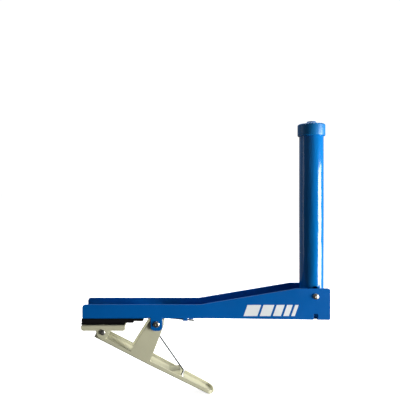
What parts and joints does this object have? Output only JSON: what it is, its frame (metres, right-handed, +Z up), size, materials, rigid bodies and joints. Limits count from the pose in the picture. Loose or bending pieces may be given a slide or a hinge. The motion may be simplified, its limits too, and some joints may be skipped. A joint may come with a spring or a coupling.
{
  "type": "table tennis net clamp",
  "caption": "Spring clamp that grips a table's edge with rubber jaws and holds a folding round net post on a U-section steel arm.",
  "frame": {"origin": "underside of the rubber grip strip, on the table-top plane, straight above the jaw rivet, midway across the clamp", "axes": "+X from the jaw towards the post, +Z up along the raised post, +Y across the clamp"},
  "size_m": [0.1929, 0.0256, 0.2159],
  "materials": {
    "arm_channel": "satin blue powder coat",
    "arm_grip_strip": "matte black rubber",
    "lever": "satin cream paint",
    "torsion_spring": "dark oiled spring wire",
    "jaw_shoe": "satin cream paint",
    "jaw_pad": "matte black rubber",
    "post_tube": "glossy blue enamel",
    "post_cap": "semi-gloss blue plastic",
    "post_foot_plug": "black plastic",
    "lever_pivot_rivet": "plated steel",
    "jaw_rivet": "plated steel",
    "post_rivet": "plated steel"
  },
  "bodies": {
    "arm": {"arm_channel": "arm_channel", "arm_grip_strip": "arm_grip_strip", "lever_pivot_rivet": "lever_pivot_rivet"},
    "lever": {"lever": "lever", "torsion_spring": "torsion_spring", "jaw_rivet": "jaw_rivet"},
    "jaw": {"jaw_shoe": "jaw_shoe", "jaw_pad": "jaw_pad"},
    "post_pivot": {"post_rivet": "post_rivet"},
    "post": {"post_tube": "post_tube", "post_cap": "post_cap", "post_foot_plug": "post_foot_plug"}
  },
  "joints": [
    {"name": "lever_squeeze", "type": "hinge", "parent": "arm", "child": "lever", "pos_m": [0.0417, 0, -0.0009], "axis": [0, -1, 0], "range_deg": [0, 45], "stiffness_Nm_per_rad": 1.5, "springref_deg": -63.03, "deforming": ["torsion_spring"]},
    {"name": "jaw_swivel", "type": "hinge", "parent": "lever", "child": "jaw", "pos_m": [0, 0, -0.0071], "axis": [0, -1, 0], "range_deg": [-45, 0]},
    {"name": "post_fold", "type": "hinge", "parent": "arm", "child": "post_pivot", "pos_m": [0.1648, 0, 0.0207], "axis": [0, -1, 0], "range_deg": [0, 90]},
    {"name": "post_drop", "type": "slide", "parent": "post_pivot", "child": "post", "axis": [0, 0, -1], "range_m": [0, 0.0053]}
  ],
  "couplings": [
    {"joint": "jaw_swivel", "follows": "lever_squeeze", "ratio": -1}
  ]
}
